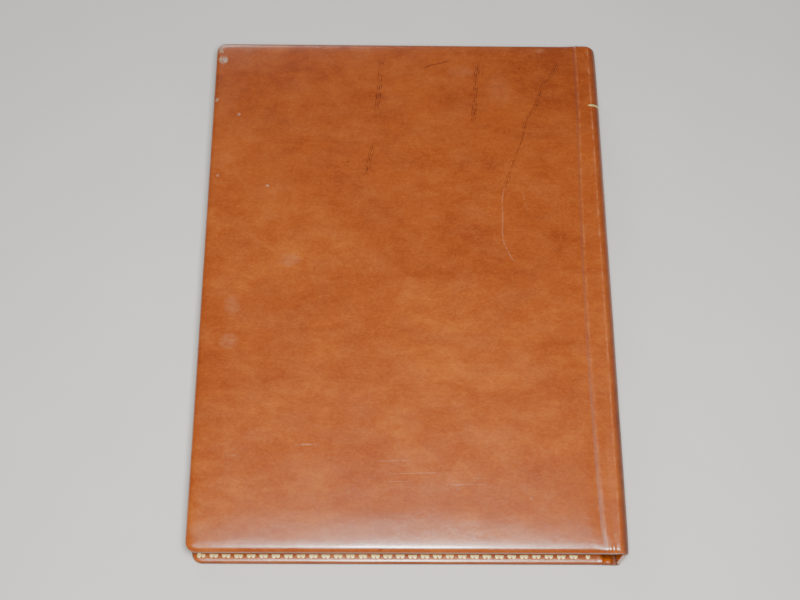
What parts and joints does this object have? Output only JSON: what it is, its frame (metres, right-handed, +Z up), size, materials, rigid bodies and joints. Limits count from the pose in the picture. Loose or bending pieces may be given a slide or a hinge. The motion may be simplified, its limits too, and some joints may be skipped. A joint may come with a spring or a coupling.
{
  "type": "folding desk mat",
  "caption": "Book-form leather desk mat that opens flat on a desk: padded covers on a flat spine, gilt inner borders, a document pocket and an A4 blotting block in leather corners.",
  "frame": {"origin": "centre of the closed mat's footprint, on the surface that it lies on", "axes": "+X towards the spine, +Y towards the head of the covers, +Z up through the closed mat, from the front cover to the back one"},
  "size_m": [0.24, 0.324, 0.036],
  "materials": {
    "outer_leather": "polished calf, mottled tan brown, worn",
    "inner_leather": "smooth tan leather, semi-matt",
    "gilt": "gold foil tooled into leather, bright",
    "board": "grey bookbinder's board",
    "felt": "thin cream felt",
    "lining": "brown woven lining cloth",
    "backing_card": "dark card",
    "blotting_paper": "soft cream blotting paper"
  },
  "bodies": {
    "front_cover": {"front_leather": "outer_leather", "front_felt": "felt", "front_board": "board", "front_lining": "lining", "front_gilt_border": "gilt", "front_hinge_leather": "outer_leather", "front_hinge_lining": "lining", "pocket_fore_edge_wall": "inner_leather", "pocket_head_wall": "inner_leather", "pocket_tail_wall": "inner_leather", "pocket_panel": "inner_leather"},
    "spine": {"spine_leather": "outer_leather", "spine_card": "backing_card", "spine_lining": "lining", "spine_gilt_line": "gilt"},
    "back_cover": {"back_leather": "outer_leather", "back_felt": "felt", "back_board": "board", "back_lining": "lining", "back_gilt_border": "gilt", "back_hinge_leather": "outer_leather", "back_hinge_lining": "lining", "blotter_backing": "backing_card", "blotting_sheets": "blotting_paper", "blotter_corner_fore_head": "inner_leather", "blotter_corner_hinge_head": "inner_leather", "blotter_corner_hinge_tail": "inner_leather", "blotter_corner_fore_tail": "inner_leather"}
  },
  "joints": [
    {"name": "front_hinge", "type": "hinge", "parent": "front_cover", "child": "spine", "pos_m": [0.11824, 0, 0.00176], "axis": [0, 1, 0], "range_deg": [0, 90], "deforming": ["front_hinge_leather", "front_hinge_lining"]},
    {"name": "back_hinge", "type": "hinge", "parent": "spine", "child": "back_cover", "pos_m": [0.11824, 0, 0.03424], "axis": [0, 1, 0], "range_deg": [0, 90], "deforming": ["back_hinge_leather", "back_hinge_lining"]}
  ]
}
